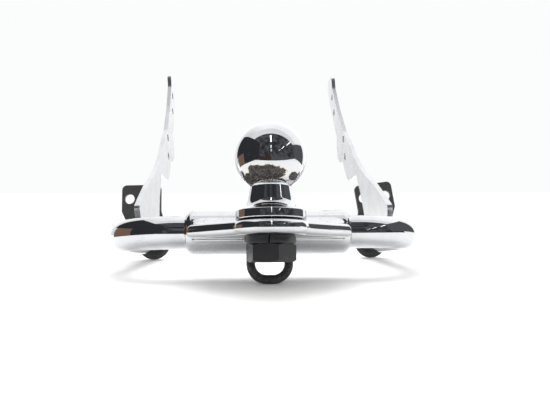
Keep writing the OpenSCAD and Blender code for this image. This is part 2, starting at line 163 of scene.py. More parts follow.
def place_piece(name, bm, finish, slot, body, *nodes, even=False):
    """Makes a bmesh an object with its finish, and lets it stand for CAD nodes on a body."""
    bmesh.ops.recalc_face_normals(bm, faces=bm.faces)
    mesh = bpy.data.meshes.new(name)
    bm.to_mesh(mesh)
    bm.free()
    mesh.shade_smooth()
    mesh.set_sharp_from_angle(angle=SMOOTH_ANGLE)
    mesh.materials.append(finish)
    piece = bpy.data.objects.new(name, mesh)
    bpy.context.scene.collection.objects.link(piece)
    if even:
        piece.modifiers.new("Even normals", "WEIGHTED_NORMAL").keep_sharp = True
    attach(piece, body)
    if nodes:
        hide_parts(*nodes)
    return piece


def moved_verts(geometry):
    """The vertices among a bmesh operator's results."""
    return [g for g in geometry if isinstance(g, bmesh.types.BMVert)]


def moved_edges(geometry):
    """The edges among a bmesh operator's results."""
    return [g for g in geometry if isinstance(g, bmesh.types.BMEdge)]


def turned(profile, steps, turn=None):
    """A solid turned about Z from a profile of (radius, height), closed on the axis."""
    bm = bmesh.new()
    verts = [bm.verts.new((r, 0, z)) for r, z in profile]
    edges = [bm.edges.new(pair) for pair in zip(verts, verts[1:])]
    bmesh.ops.spin(bm, geom=verts + edges, cent=(0, 0, 0), axis=(0, 0, 1), angle=math.tau,
                   steps=steps, use_merge=True)
    bmesh.ops.remove_doubles(bm, verts=bm.verts, dist=1e-6)
    if turn is not None:
        bmesh.ops.transform(bm, matrix=turn, verts=bm.verts)
    return bm


def swept_bar(start, heading, radius, legs, sides, capped=True):
    """A round bar from start along heading. A leg is (length,) or (radius, degrees, axis)."""
    bm = bmesh.new()
    heading = Vector(heading)
    place = Vector(start)
    turn = heading.to_track_quat("Z", "Y").to_matrix().to_4x4()
    ring = bmesh.ops.create_circle(bm, cap_ends=False, radius=radius, segments=sides,
                                   matrix=Matrix.Translation(place) @ turn)
    edges = list({e for v in ring["verts"] for e in v.link_edges})
    first = edges
    for leg in legs:
        if len(leg) == 1:
            moved = bmesh.ops.extrude_edge_only(bm, edges=edges)["geom"]
            shift = heading * leg[0]
            bmesh.ops.translate(bm, vec=shift, verts=moved_verts(moved))
            place = place + shift
        else:
            bend, degrees, axis = leg
            centre = place + axis.cross(heading).normalized() * bend
            moved = bmesh.ops.spin(bm, geom=edges, cent=centre, axis=axis, angle=math.radians(degrees),
                                   steps=max(6, round(abs(degrees) / 3)))["geom_last"]
            spun = Matrix.Rotation(math.radians(degrees), 3, axis)
            place = centre + spun @ (place - centre)
            heading = spun @ heading
        edges = moved_edges(moved)
    if capped:
        bmesh.ops.holes_fill(bm, edges=first + edges, sides=sides)
    return bm


def from_cad(node):
    """A copy of a CAD node's shape as flat faces, with its triangles merged."""
    bm = bmesh.new()
    bm.from_mesh(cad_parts[node].data)
    bmesh.ops.remove_doubles(bm, verts=bm.verts, dist=0.002 * MM)
    bmesh.ops.dissolve_limit(bm, angle_limit=math.radians(0.4), verts=bm.verts, edges=bm.edges)
    return bm


def sharp_edges(bm, degrees):
    """Edges whose faces meet at more than the given angle."""
    limit = math.radians(degrees)
    return [e for e in bm.edges if len(e.link_faces) == 2 and e.calc_face_angle(0) > limit]


def round_edges(bm, edges, width, segments, clamp=True):
    """Rounds edges of a bmesh, as rolling, tumbling and plating do."""
    bmesh.ops.bevel(bm, geom=edges, offset=width, offset_type="OFFSET", segments=segments,
                    profile=0.5, affect="EDGES", clamp_overlap=clamp, material=-1)


def rippled_bead(start, heading, run, radius, pitch=1.8 * MM):
    """A weld bead: a bar with a ripple at each dip of the rod and round ends."""
    steps = round(run / pitch) * 4
    profile = []
    for i in range(steps + 1):
        along = run * i / steps
        end = min(1.0, along / (2 * radius), (run - along) / (2 * radius))
        swell = 1 - 0.07 * abs(math.sin(math.pi * along / pitch))
        profile.append((radius * swell * math.sqrt(max(0.0, 1 - (1 - end) ** 2)), along))
    turn = Matrix.Translation(start) @ heading.to_track_quat("Z", "Y").to_matrix().to_4x4()
    return turned(profile, 20, turn)


def join(whole, part):
    """Adds one bmesh to another and frees it."""
    mesh = bpy.data.meshes.new("joining")
    part.to_mesh(mesh)
    part.free()
    whole.from_mesh(mesh)
    bpy.data.meshes.remove(mesh)


# ---- material helpers ----

def add_node(tree, kind, links=None, **settings):
    """Adds a node, sets its properties, and fills its inputs with values or sockets."""
    made = tree.nodes.new(kind)
    for name, value in settings.items():
        setattr(made, name, value)
    for name, value in (links or {}).items():
        if isinstance(value, bpy.types.NodeSocket):
            tree.links.new(value, made.inputs[name])
        else:
            made.inputs[name].default_value = value
    return made


def per_metre(millimetres):
    """Texture scale at which one cell of a pattern is that many millimetres."""
    return 1 / (millimetres * MM)


def blank_material(name, **inputs):
    """A material with one Principled shader; returns it, its tree, shader and Object coordinates."""
    material = bpy.data.materials.new(name)
    material.use_nodes = True
    tree = material.node_tree
    tree.nodes.clear()
    shader = add_node(tree, "ShaderNodeBsdfPrincipled")
    for socket, value in inputs.items():
        shader.inputs[socket.replace("_", " ")].default_value = value
    add_node(tree, "ShaderNodeOutputMaterial", {"Surface": shader.outputs["BSDF"]})
    place = add_node(tree, "ShaderNodeTexCoord").outputs["Object"]
    return material, tree, shader, place


def mottling(tree, place, size, low, high, start, end, detail=4.0, roughness=0.6):
    """Noise with cells of a size in millimetres, eased so that low..high becomes start..end."""
    noise = add_node(tree, "ShaderNodeTexNoise", {"Vector": place, "Scale": per_metre(size),
                                                  "Detail": detail, "Roughness": roughness})
    return add_node(tree, "ShaderNodeMapRange",
                    {"Value": noise.outputs["Fac"], "From Min": low, "From Max": high,
                     "To Min": start, "To Max": end}, interpolation_type="SMOOTHSTEP").outputs["Result"]


def fill_shader(tree, shader, base, rough, relief, depth):
    """Links a finish's colour and roughness, and its relief as a bump of a depth in millimetres."""
    bump = add_node(tree, "ShaderNodeBump", {"Height": relief, "Strength": 0.4, "Distance": depth * MM})
    tree.links.new(base, shader.inputs["Base Color"])
    tree.links.new(rough, shader.inputs["Roughness"])
    tree.links.new(bump.outputs["Normal"], shader.inputs["Normal"])


# ---- finishes ----

def ball_wear(tree, place):
    """How deep a point lies in the patches that a coupler rubbed on the ball's lower front."""
    patches = (((-4.0, -19.5, -14.0), (19.0, 13.0, 6.4)), ((-10.0, -17.5, -11.8), (7.5, 8.5, 4.6)),
               ((-13.8, -10.0, -16.0), (7.0, 9.0, 5.0)), ((14.2, -12.0, -15.0), (5.4, 6.5, 3.9)))
    depth = None
    for centre, radii in patches:
        mapping = add_node(tree, "ShaderNodeMapping",
                           {"Vector": place, "Location": Vector(centre) * MM,
                            "Scale": Vector(radii) * MM}, vector_type="TEXTURE")
        inside = add_node(tree, "ShaderNodeTexGradient", {"Vector": mapping.outputs["Vector"]},
                          gradient_type="SPHERICAL").outputs["Fac"]
        if depth is None:
            depth = inside
        else:
            depth = add_node(tree, "ShaderNodeMath", {0: depth, 1: inside},
                             operation="MAXIMUM").outputs[0]
    ragged = mottling(tree, place, 3.6, 0.0, 1.0, -0.3, 0.3, detail=6, roughness=0.7)
    return add_node(tree, "ShaderNodeMath", {0: depth, 1: ragged}, operation="ADD").outputs[0]


def chrome_plate(name, pitting=0.12, ripple=0.0, worn=False, haze=0.0):
    """Bright nickel-chrome plate on steel: a mirror with fine pits, slight waves and road film."""
    colours = bpy.context.scene.hitch_colours
    material, tree, shader, place = blank_material(name, Metallic=1.0)
    film = mottling(tree, place, 16, 0.35, 0.75, 0.0, 1.0)
    base = add_node(tree, "ShaderNodeMix", {0: film, 6: colours.chrome, 7: colours.hazed_chrome},
                    data_type="RGBA").outputs[2]
    # Pits sit in cells 1.6 mm apart, gathered in patches
    cells = add_node(tree, "ShaderNodeTexVoronoi", {"Vector": place, "Scale": per_metre(1.6)})
    spots = add_node(tree, "ShaderNodeMapRange",
                     {"Value": cells.outputs["Distance"], "From Min": 0.20, "From Max": 0.11}).outputs[0]
    patches = mottling(tree, place, 11, 0.62 - pitting, 0.86 - pitting, 0.0, 1.0, detail=2)
    pits = add_node(tree, "ShaderNodeMath", {0: spots, 1: patches}, operation="MULTIPLY").outputs[0]
    if worn:
        depth = ball_wear(tree, place)
        rim = add_node(tree, "ShaderNodeMapRange",
                       {"Value": depth, "From Min": 0.21, "From Max": 0.28}).outputs[0]
        base = add_node(tree, "ShaderNodeMix", {0: rim, 6: base, 7: colours.worn_rim},
                        data_type="RGBA").outputs[2]
        grit = mottling(tree, place, 1.3, 0.35, 0.68, 0.0, 1.0, detail=6, roughness=0.75)
        steel = add_node(tree, "ShaderNodeMix",
                         {0: grit, 6: colours.worn_steel, 7: colours.rubbed_steel},
                         data_type="RGBA").outputs[2]
        bare = add_node(tree, "ShaderNodeMapRange",
                        {"Value": depth, "From Min": 0.29, "From Max": 0.34}).outputs[0]
        base = add_node(tree, "ShaderNodeMix", {0: bare, 6: base, 7: steel}, data_type="RGBA").outputs[2]
        rubbed = add_node(tree, "ShaderNodeMath", {0: bare, 1: 1.3}, operation="MULTIPLY").outputs[0]
        pits = add_node(tree, "ShaderNodeMath", {0: pits, 1: rubbed}, operation="MAXIMUM").outputs[0]
    else:
        base = add_node(tree, "ShaderNodeMix", {0: pits, 6: base, 7: colours.pitted_steel},
                        data_type="RGBA").outputs[2]
    polish = mottling(tree, place, 16, 0.3, 0.8, 0.03 + haze, 0.08 + haze)
    rough = add_node(tree, "ShaderNodeMath", {0: pits, 1: 0.36, 2: polish},
                     operation="MULTIPLY_ADD").outputs[0]
    waves = mottling(tree, place, 9, 0.0, 1.0, 0.0, 0.25, detail=2)
    relief = add_node(tree, "ShaderNodeMath", {0: pits, 1: -0.5, 2: waves},
                      operation="MULTIPLY_ADD").outputs[0]
    if ripple:
        grain = mottling(tree, place, 2.4, 0.0, 1.0, 0.0, ripple, detail=3)
        relief = add_node(tree, "ShaderNodeMath", {0: relief, 1: grain}, operation="ADD").outputs[0]
    fill_shader(tree, shader, base, rough, relief, 0.05)
    return material


def black_oxide(name):
    """Hot black oxide on cut steel, oiled: satin near-black, greyer where it has been rubbed."""
    colours = bpy.context.scene.hitch_colours
    material, tree, shader, place = blank_material(name)
    rubbed = mottling(tree, place, 3.2, 0.58, 0.74, 0.0, 1.0, detail=5, roughness=0.7)
    base = add_node(tree, "ShaderNodeMix", {0: rubbed, 6: colours.black_oxide, 7: colours.grey_oxide},
                    data_type="RGBA").outputs[2]
    rough = mottling(tree, place, 6, 0.3, 0.7, 0.32, 0.46)
    fill_shader(tree, shader, base, rough, mottling(tree, place, 0.8, 0.0, 1.0, 0.0, 1.0), 0.03)
    return material


def gloss_paint(name):
    """Brushed gloss black enamel over a forged bar: shiny, lumpy, scuffed through here and there."""
    colours = bpy.context.scene.hitch_colours
    material, tree, shader, place = blank_material(name)
    scuffs = mottling(tree, place, 3.5, 0.60, 0.70, 0.0, 1.0, detail=5, roughness=0.7)
    base = add_node(tree, "ShaderNodeMix", {0: scuffs, 6: colours.loop_paint, 7: colours.loop_scuffs},
                    data_type="RGBA").outputs[2]
    rough = mottling(tree, place, 5, 0.3, 0.7, 0.20, 0.32)
    lumps = mottling(tree, place, 3.0, 0.0, 1.0, 0.0, 1.0, detail=2)
    fill_shader(tree, shader, base, rough, lumps, 0.14)
    return material


def powder_coat(name):
    """Black powder coat on sheet steel: satin, with a fine orange peel and grey scuffs."""
    colours = bpy.context.scene.hitch_colours
    material, tree, shader, place = blank_material(name)
    scuffs = mottling(tree, place, 4, 0.60, 0.74, 0.0, 1.0, detail=6, roughness=0.75)
    base = add_node(tree, "ShaderNodeMix", {0: scuffs, 6: colours.black_paint, 7: colours.grey_paint},
                    data_type="RGBA").outputs[2]
    rough = mottling(tree, place, 1.3, 0.3, 0.7, 0.42, 0.56, detail=2)
    orange_peel = mottling(tree, place, 1.3, 0.0, 1.0, 0.0, 1.0, detail=2)
    fill_shader(tree, shader, base, rough, orange_peel, 0.05)
    return material


def machined_steel(name):
    """Lathe-turned mild steel left bare: a fine dull grain, slightly tarnished."""
    colours = bpy.context.scene.hitch_colours
    material, tree, shader, place = blank_material(name, Metallic=1.0)
    clean = mottling(tree, place, 5, 0.3, 0.7, 0.0, 1.0)
    base = add_node(tree, "ShaderNodeMix", {0: clean, 6: colours.tarnish, 7: colours.turned_steel},
                    data_type="RGBA").outputs[2]
    rough = mottling(tree, place, 5, 0.3, 0.7, 0.42, 0.28)
    fill_shader(tree, shader, base, rough, mottling(tree, place, 0.4, 0.0, 1.0, 0.0, 1.0), 0.01)
    return material


FINISHES = {
    "bright_chrome": lambda name: chrome_plate(name),
    "sleeve_chrome": lambda name: chrome_plate(name, pitting=0.27),
    "strut_chrome": lambda name: chrome_plate(name, haze=0.26),
    "ball_chrome": lambda name: chrome_plate(name, pitting=0.16, worn=True),
    "weld_chrome": lambda name: chrome_plate(name, pitting=0.24, ripple=0.6),
    "black_oxide": black_oxide,
    "gloss_paint": gloss_paint,
    "powder_coat": powder_coat,
    "machined_steel": machined_steel,
}

# Finishes made so far, because the frame's own materials have some of the same names
MADE = {}


def finish(name):
    """One of the hitch's finishes, made the first time it is asked for."""
    if name not in MADE:
        MADE[name] = FINISHES[name](name)
    return MADE[name]


# ---- operators, one for each piece or group of like pieces ----

class HITCH_OT_crossbar(bpy.types.Operator):
    """Bends the crossbar tube: a leg, a bend, the middle, a bend and a leg"""

    bl_idname = "hitch.crossbar"
    bl_label = "Crossbar tube"

    def execute(self, context):
        sizes = context.scene.hitch_sizes
        straight = LEG_END - CROSSBAR.y - sizes.bend_radius
        across = 2 * (LEG_X - sizes.bend_radius)
        bend = (sizes.bend_radius, 90, Z_AXIS)
        bm = swept_bar((-LEG_X, LEG_END, CROSSBAR.z), -Y_AXIS, sizes.tube_diameter / 2,
                       [(straight,), bend, (across,), bend, (straight,)], 72, capped=False)
        bmesh.ops.recalc_face_normals(bm, faces=bm.faces)
        bmesh.ops.solidify(bm, geom=bm.faces[:], thickness=sizes.tube_wall)
        round_edges(bm, sharp_edges(bm, 60), 0.4 * MM, 3)
        place_piece("crossbar_tube_skin", bm, finish("bright_chrome"), "chrome_plate", "frame",
                    "crossbar_tube")
        return {"FINISHED"}


class HITCH_OT_sleeve(bpy.types.Operator):
    """Turns the centre sleeve with its rounded ends"""

    bl_idname = "hitch.sleeve"
    bl_label = "Centre sleeve"

    def execute(self, context):
        sizes = context.scene.hitch_sizes
        half = span("centre_sleeve", 0) / 2
        inner = sizes.tube_diameter / 2
        r = sizes.sleeve_round
        lip = 0.5 * MM
        right = arc((SLEEVE_RADIUS - r, half - r), r, 0, 60, 14)
        left = [(x, -y) for x, y in reversed(right)]
        profile = [(inner, -half + 2 * lip), (inner + lip, -half), *left, *right,
                   (inner + lip, half), (inner, half - 2 * lip), (inner, -half + 2 * lip)]
        turn = Matrix.Translation(CROSSBAR) @ Matrix.Rotation(math.pi / 2, 4, "Y")
        bm = turned(profile, sizes.round_steps, turn)
        place_piece("centre_sleeve_skin", bm, finish("sleeve_chrome"), "chrome_plate", "frame",
                    "centre_sleeve")
        return {"FINISHED"}


class HITCH_OT_tongue(bpy.types.Operator):
    """Shapes the tongue plate with its rounded edge, and lays its two welds"""

    bl_idname = "hitch.tongue"
    bl_label = "Tongue plate"

    def execute(self, context):
        sizes = context.scene.hitch_sizes
        right = self.outline(sizes)
        left = [(-x, y) for x, y in reversed(right[1:])]
        bm = bmesh.new()
        face = bm.faces.new([bm.verts.new((x, y, PLATE_LOW.z)) for x, y in right + left])
        top = bmesh.ops.extrude_face_region(bm, geom=[face])["geom"]
        bmesh.ops.translate(bm, vec=(0, 0, PLATE_HIGH.z - PLATE_LOW.z), verts=moved_verts(top))
        bmesh.ops.recalc_face_normals(bm, faces=bm.faces)
        slack = 0.1 * MM
        rim = [e for e in sharp_edges(bm, 60)
               if abs(e.verts[0].co.z - e.verts[1].co.z) < slack
               and min(v.co.y for v in e.verts) < PLATE_HIGH.y - slack]
        round_edges(bm, rim, sizes.plate_edge, 8, clamp=False)
        place_piece("tongue_plate_skin", bm, finish("bright_chrome"), "chrome_plate", "frame",
                    "tongue_plate", even=True)
        self.welds(sizes)
        return {"FINISHED"}

    def outline(self, sizes):
        """Right half of the plan: the nose, a hollow, the straight flank, the corner and the side."""
        sleeve_front = CROSSBAR.y - SLEEVE_RADIUS
        waist = Vector((sizes.nose_radius, sleeve_front - sizes.wing_depth))
        tip = Vector((PLATE_HIGH.x, sleeve_front - sizes.wing_tip_depth))
        flank = (tip - waist).normalized()
        outward = Vector((flank.y, -flank.x))
        slope = math.degrees(math.atan2(flank.y, flank.x))
        # The hollow's circle touches the nose's circle and the flank's line
        reach = waist.dot(outward) + sizes.hollow_radius
        along = math.sqrt((sizes.nose_radius + sizes.hollow_radius) ** 2 - reach ** 2)
        hollow_at = reach * outward + along * flank
        turn = math.degrees(math.atan2(hollow_at.y, hollow_at.x))
        nose = arc((0, 0), sizes.nose_radius, -90, turn, 32)
        hollow = arc(hollow_at, sizes.hollow_radius, 180 + turn, 90 + slope, 8)
        corner_turn = math.radians(90 - slope)
        corner_at = (tip - sizes.wing_corner * math.tan(corner_turn / 2) * flank
                     - sizes.wing_corner * outward)
        corner = arc(corner_at, sizes.wing_corner, slope - 90, 0, 8)
        return nose + hollow[1:] + corner + [(PLATE_HIGH.x, PLATE_HIGH.y)]

    def welds(self, sizes):
        """The ground fillet on top of the plate and the bead in the corner under it."""
        low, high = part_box("tongue_weld")
        whole = self.fillet(high.x, sizes.fillet_radius)
        depth = math.sqrt(SLEEVE_RADIUS ** 2 - (PLATE_LOW.z - CROSSBAR.z) ** 2)
        start = Vector((low.x, CROSSBAR.y - depth, PLATE_LOW.z))
        join(whole, rippled_bead(start, X_AXIS, high.x - low.x, 0.9 * sizes.bead_radius))
        place_piece("tongue_weld_metal", whole, finish("weld_chrome"), "weld_chrome", "frame",
                    "tongue_weld")

    def fillet(self, half, full_radius):
        """A hollow-faced weld between plate and sleeve, running out at both ends."""
        bm = bmesh.new()
        run_out = 9 * MM
        thinnest = 0.4 * MM
        rise = PLATE_HIGH.z - CROSSBAR.z
        # The weld's hidden faces lie a little inside the sleeve and the plate
        sunk = rise - 0.3 * MM
        corner = (-math.sqrt(SLEEVE_RADIUS ** 2 - rise ** 2) + 0.5 * MM, sunk)
        stations = [half * math.sin(math.radians(a)) for a in range(-90, 91, 3)]
        last = None
        for x in stations:
            ease = min(1.0, (half - abs(x)) / run_out)
            radius = max(thinnest, full_radius * math.sqrt(1 - (1 - ease) ** 2))
            reach = math.sqrt((SLEEVE_RADIUS + radius) ** 2 - (rise + radius) ** 2)
            centre = Vector((-reach, rise + radius))
            touch = math.degrees(math.atan2(-centre.y, -centre.x))
            face = [(centre.x, sunk), *arc(centre, radius, -90, touch, 14), corner]
            verts = [bm.verts.new((x, CROSSBAR.y + y, CROSSBAR.z + z)) for y, z in face]
            edges = [bm.edges.new(pair) for pair in zip(verts, verts[1:] + verts[:1])]
            if last:
                bmesh.ops.bridge_loops(bm, edges=last + edges)
            last = edges
        bmesh.ops.holes_fill(bm, edges=[e for e in bm.edges if e.is_boundary], sides=0)
        return bm


class HITCH_OT_ball(bpy.types.Operator):
    """Turns the tow ball with its neck, cove, flange and shank"""

    bl_idname = "hitch.ball"
    bl_label = "Tow ball"

    def execute(self, context):
        sizes = context.scene.hitch_sizes
        radius = sizes.ball_diameter / 2
        flat = math.degrees(math.acos(sizes.ball_flat / 2 / radius))
        flat_z = radius * math.sin(math.radians(flat))
        neck = sizes.neck_diameter / 2
        neck_turn = -math.degrees(math.acos(neck / radius))
        neck_z = radius * math.sin(math.radians(neck_turn))
        seat = PLATE_HIGH.z
        flange = sizes.flange_diameter / 2
        edge = 0.9 * MM
        neck_step = 0.6 * MM
        neck_top = neck_z - neck_step
        # The neck widens by its taper down to where the cove takes over
        cove = sizes.cove_radius
        cove_z = seat + sizes.flange_height + cove
        taper = math.radians(10)
        widening = (neck_top - cove_z + cove * math.sin(taper)) * math.tan(taper)
        cove_at = (neck + widening + cove * math.cos(taper), cove_z)
        cove_end = math.degrees(math.acos((flange - edge - cove_at[0]) / cove))
        cove_arc = arc(cove_at, cove, 180 + math.degrees(taper), 360 - cove_end, 20)
        rim_z = cove_arc[-1][1]
        shank = sizes.shank_diameter / 2
        bevel = 1 * MM
        shank_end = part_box("tow_ball")[0].z
        profile = [(0, flat_z - 0.05 * MM), (sizes.ball_flat / 2 - 0.5 * MM, flat_z - 0.03 * MM)]
        profile += arc((0, 0), radius, flat - 1.2, neck_turn + 1.5, 90)
        profile += [(neck, neck_top)]
        profile += cove_arc
        profile += arc((flange - edge, rim_z - 1.1 * edge), edge, 70, 0, 6)
        # The flange is undercut a little above the plate
        profile += arc((flange - edge, seat + 1.5 * MM), edge, 0, -80, 6)
        undercut, gap = 2 * MM, 0.5 * MM
        seat_inset = 2.6 * MM
        profile += [(flange - undercut, seat + gap), (flange - seat_inset, seat), (shank, seat)]
        profile += [(shank, shank_end + bevel), (shank - bevel, shank_end), (0, shank_end)]
        bm = turned(profile, sizes.round_steps)
        place_piece("tow_ball_skin", bm, finish("ball_chrome"), "ball_chrome", "frame", "tow_ball")
        return {"FINISHED"}


def split_washer(outer, inner, height, base, split_at, gap):
    """A spring washer about Z: a section swept nearly all the way round, its split slanted."""
    split_slant = math.radians(6)
    edge = min(outer - inner, height) * 0.12
    corners = [((outer - edge, height - edge), 0), ((inner + edge, height - edge), 90),
               ((inner + edge, edge), 180), ((outer - edge, edge), 270)]
    section = [p for centre, start in corners for p in arc(centre, edge, start, start + 90, 4)]
    open_angle = gap / outer
    bm = bmesh.new()
    verts = [bm.verts.new((r, 0, z)) for r, z in section]
    start = bm.faces.new(verts)
    bmesh.ops.spin(bm, geom=[start, *start.edges, *verts], cent=(0, 0, 0), axis=(0, 0, 1),
                   angle=math.tau - open_angle, steps=96)
    for v in bm.verts:
        slant = (v.co.z - height / 2) * math.tan(split_slant) / outer
        v.co = Matrix.Rotation(math.radians(split_at) + open_angle / 2 + slant, 3, "Z") @ v.co
    bmesh.ops.translate(bm, vec=(0, 0, base), verts=bm.verts)
    return bm


class HITCH_OT_ball_fasteners(bpy.types.Operator):
    """Makes the split lock washer and the hexagon nut under the tongue plate"""

    bl_idname = "hitch.ball_fasteners"
    bl_label = "Ball nut and lock washer"

    def execute(self, context):
        bm = from_cad("ball_nut")
        round_edges(bm, sharp_edges(bm, 20), 0.45 * MM, 3)
        place_piece("ball_nut_skin", bm, finish("black_oxide"), "black_oxide", "frame", "ball_nut",
                    even=True)
        low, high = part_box("lock_washer")
        bore = context.scene.hitch_sizes.shank_diameter / 2 + 0.4 * MM
        bm = split_washer(high.x, bore, high.z - low.z, low.z, -96, 1.1 * MM)
        place_piece("lock_washer_skin", bm, finish("black_oxide"), "black_oxide", "frame",
                    "lock_washer")
        return {"FINISHED"}


class HITCH_OT_chain_loop(bpy.types.Operator):
    """Bends the safety-chain loop and welds its two legs to the plate"""

    bl_idname = "hitch.chain_loop"
    bl_label = "Safety-chain loop"

    def execute(self, context):
        sizes = context.scene.hitch_sizes
        bar = sizes.loop_bar / 2
        half = LOOP_HIGH.x - bar
        loop_y = (LOOP_LOW.y + LOOP_HIGH.y) / 2
        drop = PLATE_LOW.z - LOOP_LOW.z - bar - sizes.loop_corner
        level = 2 * (half - sizes.loop_corner)
        bend = (sizes.loop_corner, 90, -Y_AXIS)
        bm = swept_bar((-half, loop_y, PLATE_LOW.z), -Z_AXIS, bar,
                       [(drop,), bend, (level,), bend, (drop,)], 40)
        place_piece("chain_loop_bar", bm, finish("gloss_paint"), "black_oxide", "frame", "chain_loop")
        collar = sizes.collar_height
        inner = bar - 0.3 * MM
        profile = [(inner, 0), (bar + 0.4 * MM, 0), (bar + 0.9 * MM, collar * 0.45),
                   (bar + sizes.collar_width, collar), (inner, collar), (inner, 0)]
        whole = bmesh.new()
        for side in SIDES.values():
            foot = Matrix.Translation((side * half, loop_y, PLATE_LOW.z - collar))
            join(whole, turned(profile, 40, foot))
        place_piece("loop_weld_collars", whole, finish("black_oxide"), "black_oxide", "frame",
                    "loop_weld")
        return {"FINISHED"}


class HITCH_OT_struts(bpy.types.Operator):
    """Cuts the two side struts, rounds their corners and edges, and lays their weld beads"""

    bl_idname = "hitch.struts"
    bl_label = "Side struts"

    def execute(self, context):
        sizes = context.scene.hitch_sizes
        foot_z = CROSSBAR.z + 16 * MM
        corner_round = 3.2 * MM
        for name, side in SIDES.items():
            bm = from_cad(f"{name}_strut")
            corners = [e for e in sharp_edges(bm, 11)
                       if abs((e.verts[1].co - e.verts[0].co).normalized().x) > 0.9
                       and min(v.co.z for v in e.verts) > foot_z]
            round_edges(bm, corners, corner_round, 5)
            round_edges(bm, sharp_edges(bm, 50), sizes.strut_edge, 6)
            place_piece(f"{name}_strut_plate", bm, finish("strut_chrome"), "chrome_plate", "frame",
                        f"{name}_strut", even=True)
            self.beads(name, side, sizes)
        return {"FINISHED"}

    def beads(self, name, side, sizes):
        """A rippled bead on each face of a strut's foot, where the face leaves the tube."""
        low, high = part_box(f"{name}_strut_weld")
        radius = sizes.bead_radius
        whole = bmesh.new()
        for x in (low.x + radius, high.x - radius):
            rise = math.sqrt((sizes.tube_diameter / 2) ** 2 - (x - side * LEG_X) ** 2)
            start = Vector((x, low.y, CROSSBAR.z + rise))
            join(whole, rippled_bead(start, Y_AXIS, high.y - low.y, radius))
        place_piece(f"{name}_strut_bead", whole, finish("weld_chrome"), "weld_chrome", "frame",
                    f"{name}_strut_weld")


class HITCH_OT_brackets(bpy.types.Operator):
    """Makes the two swivelling bracket plates"""

    bl_idname = "hitch.brackets"
    bl_label = "Brackets"

    def execute(self, context):
        for name in SIDES:
            node = f"{name}_bracket"
            bm = from_cad(node)
            round_edges(bm, sharp_edges(bm, 50), context.scene.hitch_sizes.edge_break, 3)
            place_piece(f"{node}_plate", bm, finish("powder_coat"), "black_paint", node, node, even=True)
        return {"FINISHED"}


class HITCH_OT_leg_ends(bpy.types.Operator):
    """Fits each leg's end plug, washers and pivot bolt"""

    bl_idname = "hitch.leg_ends"
    bl_label = "Leg ends"

    def execute(self, context):
        for name in SIDES:
            for part, made, coat in (("end_plug", "machined_steel", "plain_steel"),
                                     ("flat_washer", "black_oxide", "fastener_black"),
                                     ("pivot_bolt", "black_oxide", "fastener_black")):
                node = f"{name}_{part}"
                bm = from_cad(node)
                round_edges(bm, sharp_edges(bm, 25), 0.3 * MM, 3)
                place_piece(f"{node}_skin", bm, finish(made), coat, "frame", node, even=True)
            self.spring_washer(name)
        return {"FINISHED"}

    def spring_washer(self, name):
        """The split washer under a pivot bolt's head."""
        node = f"{name}_spring_washer"
        low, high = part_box(node)
        bore = 5.1625 * MM
        bm = split_washer((high.x - low.x) / 2, bore, high.y - low.y, 0, 70, 1 * MM)
        centre = Vector(((low.x + high.x) / 2, low.y, CROSSBAR.z))
        turn = Matrix.Translation(centre) @ Matrix.Rotation(-math.pi / 2, 4, "X")
        bmesh.ops.transform(bm, matrix=turn, verts=bm.verts)
        place_piece(f"{node}_skin", bm, finish("black_oxide"), "fastener_black", "frame", node)


# ---- stage ----

def floor_matrix():
    """The floor under the hitch at rest: it touches the chain loop and both brackets' lobes."""
    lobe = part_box("left_bracket")
    touch = Vector((0, (LOOP_LOW.y + LOOP_HIGH.y) / 2, LOOP_LOW.z))
    tilt = math.atan2(lobe[0].z - touch.z, lobe[1].y - touch.y)
    return Matrix.Translation(touch) @ Matrix.Rotation(tilt, 4, "X")


def stage_material(name, tint, glow=0.0):
    """A matt stage surface, or a glowing one if glow is above 0."""
    material, tree, shader, _ = blank_material(name, Roughness=1.0, Specular_IOR_Level=0.0)
    if glow:
        shader.inputs["Base Color"].default_value = (0, 0, 0, 1)
        shader.inputs["Emission Color"].default_value = tint
        shader.inputs["Emission Strength"].default_value = glow
    else:
        shader.inputs["Base Color"].default_value = tint
    return material


def link_stage(name, bm, material, seen="glossy"):
    """Links a stage mesh that only mirrors see, only the camera sees, or all but mirrors see."""
    mesh = bpy.data.meshes.new(name)
    bm.to_mesh(mesh)
    bm.free()
    mesh.materials.append(material)
    sheet = bpy.data.objects.new(name, mesh)
    bpy.context.scene.collection.objects.link(sheet)
    sheet.visible_glossy = seen == "glossy"
    sheet.visible_camera = seen in ("camera", "ground")
    sheet.visible_diffuse = seen == "ground"
    sheet.visible_shadow = seen == "ground"
    sheet.visible_transmission = False


def rectangle(low, high):
    """Corners of a level or an upright rectangle, from two opposite ones."""
    first, second = [i for i in range(3) if low[i] != high[i]]
    beside, above = list(low), list(low)
    beside[first] = high[first]
    above[second] = high[second]
    return [low, beside, high, above]


def stage_sheet(name, corners, material, matrix=Matrix(), seen="glossy"):
    """A flat stage piece from its corners."""
    bm = bmesh.new()
    bm.faces.new([bm.verts.new(c) for c in corners])
    bmesh.ops.transform(bm, matrix=matrix, verts=bm.verts)
    link_stage(name, bm, material, seen)


def sky_part(name, radius, material, cuts):
    """The part of a large sphere that lies on the inner side of every cut's normal."""
    bm = bmesh.new()
    bmesh.ops.create_uvsphere(bm, u_segments=96, v_segments=48, radius=radius)
    for normal in cuts:
        bmesh.ops.bisect_plane(bm, geom=bm.verts[:] + bm.edges[:] + bm.faces[:], dist=1e-6,
                               plane_co=(0, 0, 0), plane_no=normal, clear_outer=True)
    link_stage(name, bm, material)


